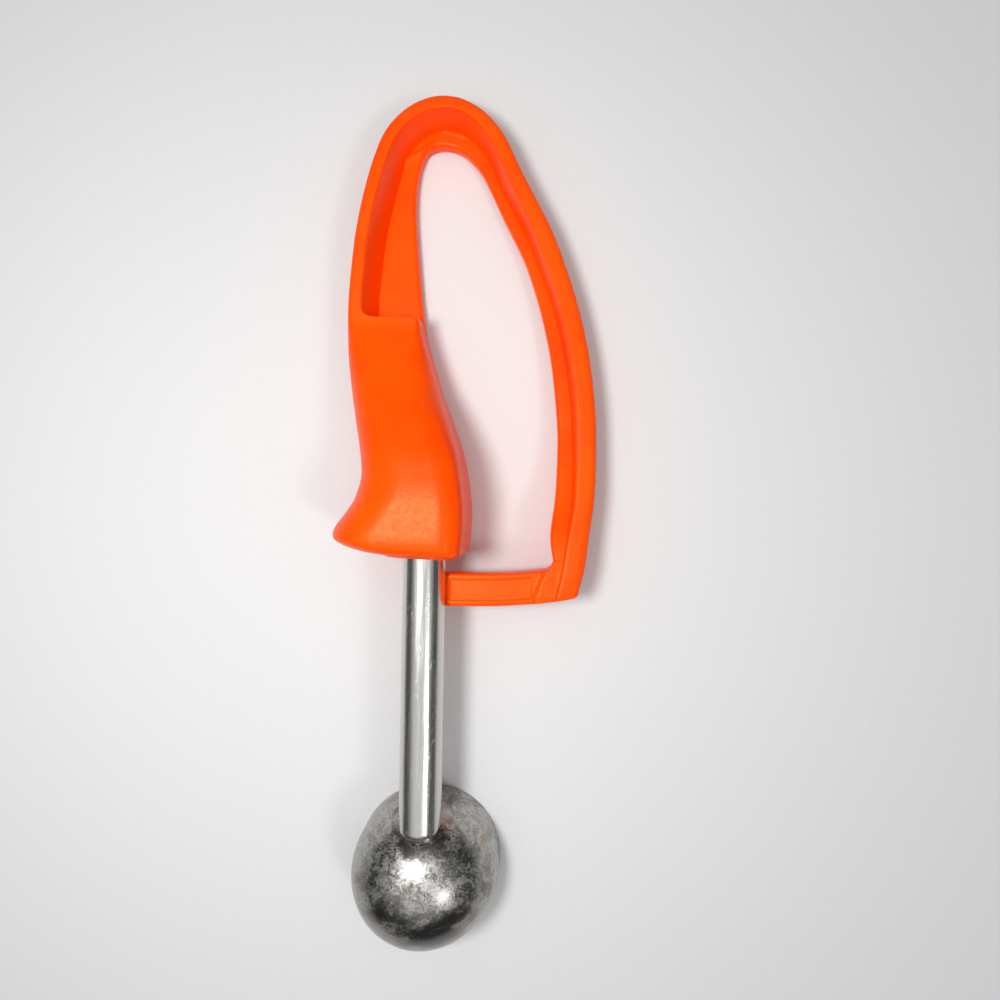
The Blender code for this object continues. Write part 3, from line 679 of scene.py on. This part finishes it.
def studio():
    """A pale floor, a small key lamp close above, a large fill lamp far off, and a sky that lights
    from overhead. The camera sees a flat pale backdrop instead of the sky. Other rays see the sky."""
    count = 24
    u = np.linspace(-FLOOR_HALF, FLOOR_HALF, count)
    xx, yy = np.meshgrid(u, u, indexing="ij")
    points = np.stack([xx, yy, 0 * xx - FLOOR_DROP], -1)
    floor = mesh_object("floor", points, grid_faces(count, count, False)[:, ::-1])
    paper = Nodes("pale_floor")
    speck = paper.noise(paper.coordinates(), 900.0, 3.0)
    paper.put(paper.shader, "Base Color", paper.mix(speck, (0.66, 0.66, 0.66, 1.0), (0.7, 0.7, 0.7, 1.0)))
    paper.shader.inputs["Roughness"].default_value = 0.85
    paper.shader.inputs["Specular IOR Level"].default_value = 0.2
    floor.data.materials.append(paper.material)
    world = bpy.data.worlds.new("studio")
    bpy.context.scene.world = world
    world.use_nodes = True
    sky = world.node_tree
    upward = sky.nodes.new("ShaderNodeSeparateXYZ")
    sky.links.new(sky.nodes.new("ShaderNodeTexCoord").outputs["Generated"], upward.inputs["Vector"])
    strength = sky.nodes.new("ShaderNodeMapRange")
    strength.interpolation_type = "SMOOTHERSTEP"
    for key, number in zip(RANGE_ENDS, SKY):
        strength.inputs[key].default_value = number
    sky.links.new(upward.outputs["Z"], strength.inputs["Value"])
    seen = sky.nodes.new("ShaderNodeMix")
    sky.links.new(sky.nodes.new("ShaderNodeLightPath").outputs["Is Camera Ray"], seen.inputs["Factor"])
    sky.links.new(strength.outputs["Result"], seen.inputs["A"])
    seen.inputs["B"].default_value = BACKDROP
    sky.nodes["Background"].inputs["Color"].default_value = (1.0, 1.0, 1.0, 1.0)
    sky.links.new(seen.outputs["Result"], sky.nodes["Background"].inputs["Strength"])
    light("key_lamp", *KEY_LAMP)
    light("fill_lamp", *FILL_LAMP)


# The photograph's view: straight down from 180 mm, off to the lever's side, turned a little
CAMERA_PLACE = (26.99 * MM, 0.0, 180.0 * MM)
CAMERA_ROLL = 0.01667
FOCAL_PIXELS = 720.0
IMAGE_PIXELS = 1000.0
CENTRE_SHIFT = (-44.25, 0.74)


def camera():
    """A camera that looks straight down on the scoop's front, with its picture's centre shifted
    towards the stem."""
    data = bpy.data.cameras.new("camera")
    data.sensor_width = 36.0
    data.lens = data.sensor_width * FOCAL_PIXELS / IMAGE_PIXELS
    data.shift_x = CENTRE_SHIFT[0] / IMAGE_PIXELS
    data.shift_y = CENTRE_SHIFT[1] / IMAGE_PIXELS
    data.clip_start = 0.01
    made = bpy.data.objects.new("camera", data)
    bpy.context.scene.collection.objects.link(made)
    made.location = CAMERA_PLACE
    made.rotation_euler = (0.0, 0.0, CAMERA_ROLL)
    bpy.context.scene.camera = made


def main():
    camera()
    plastic = orange_plastic()
    tube = tube_steel()
    handle_moulding(plastic)
    lever_arm(plastic)
    stem_tube(tube)
    weld_bead(tube)
    bowl_shell(bowl_steel())
    dress_cad_nodes()
    studio()
    bpy.context.scene.view_settings.view_transform = "Standard"


main()
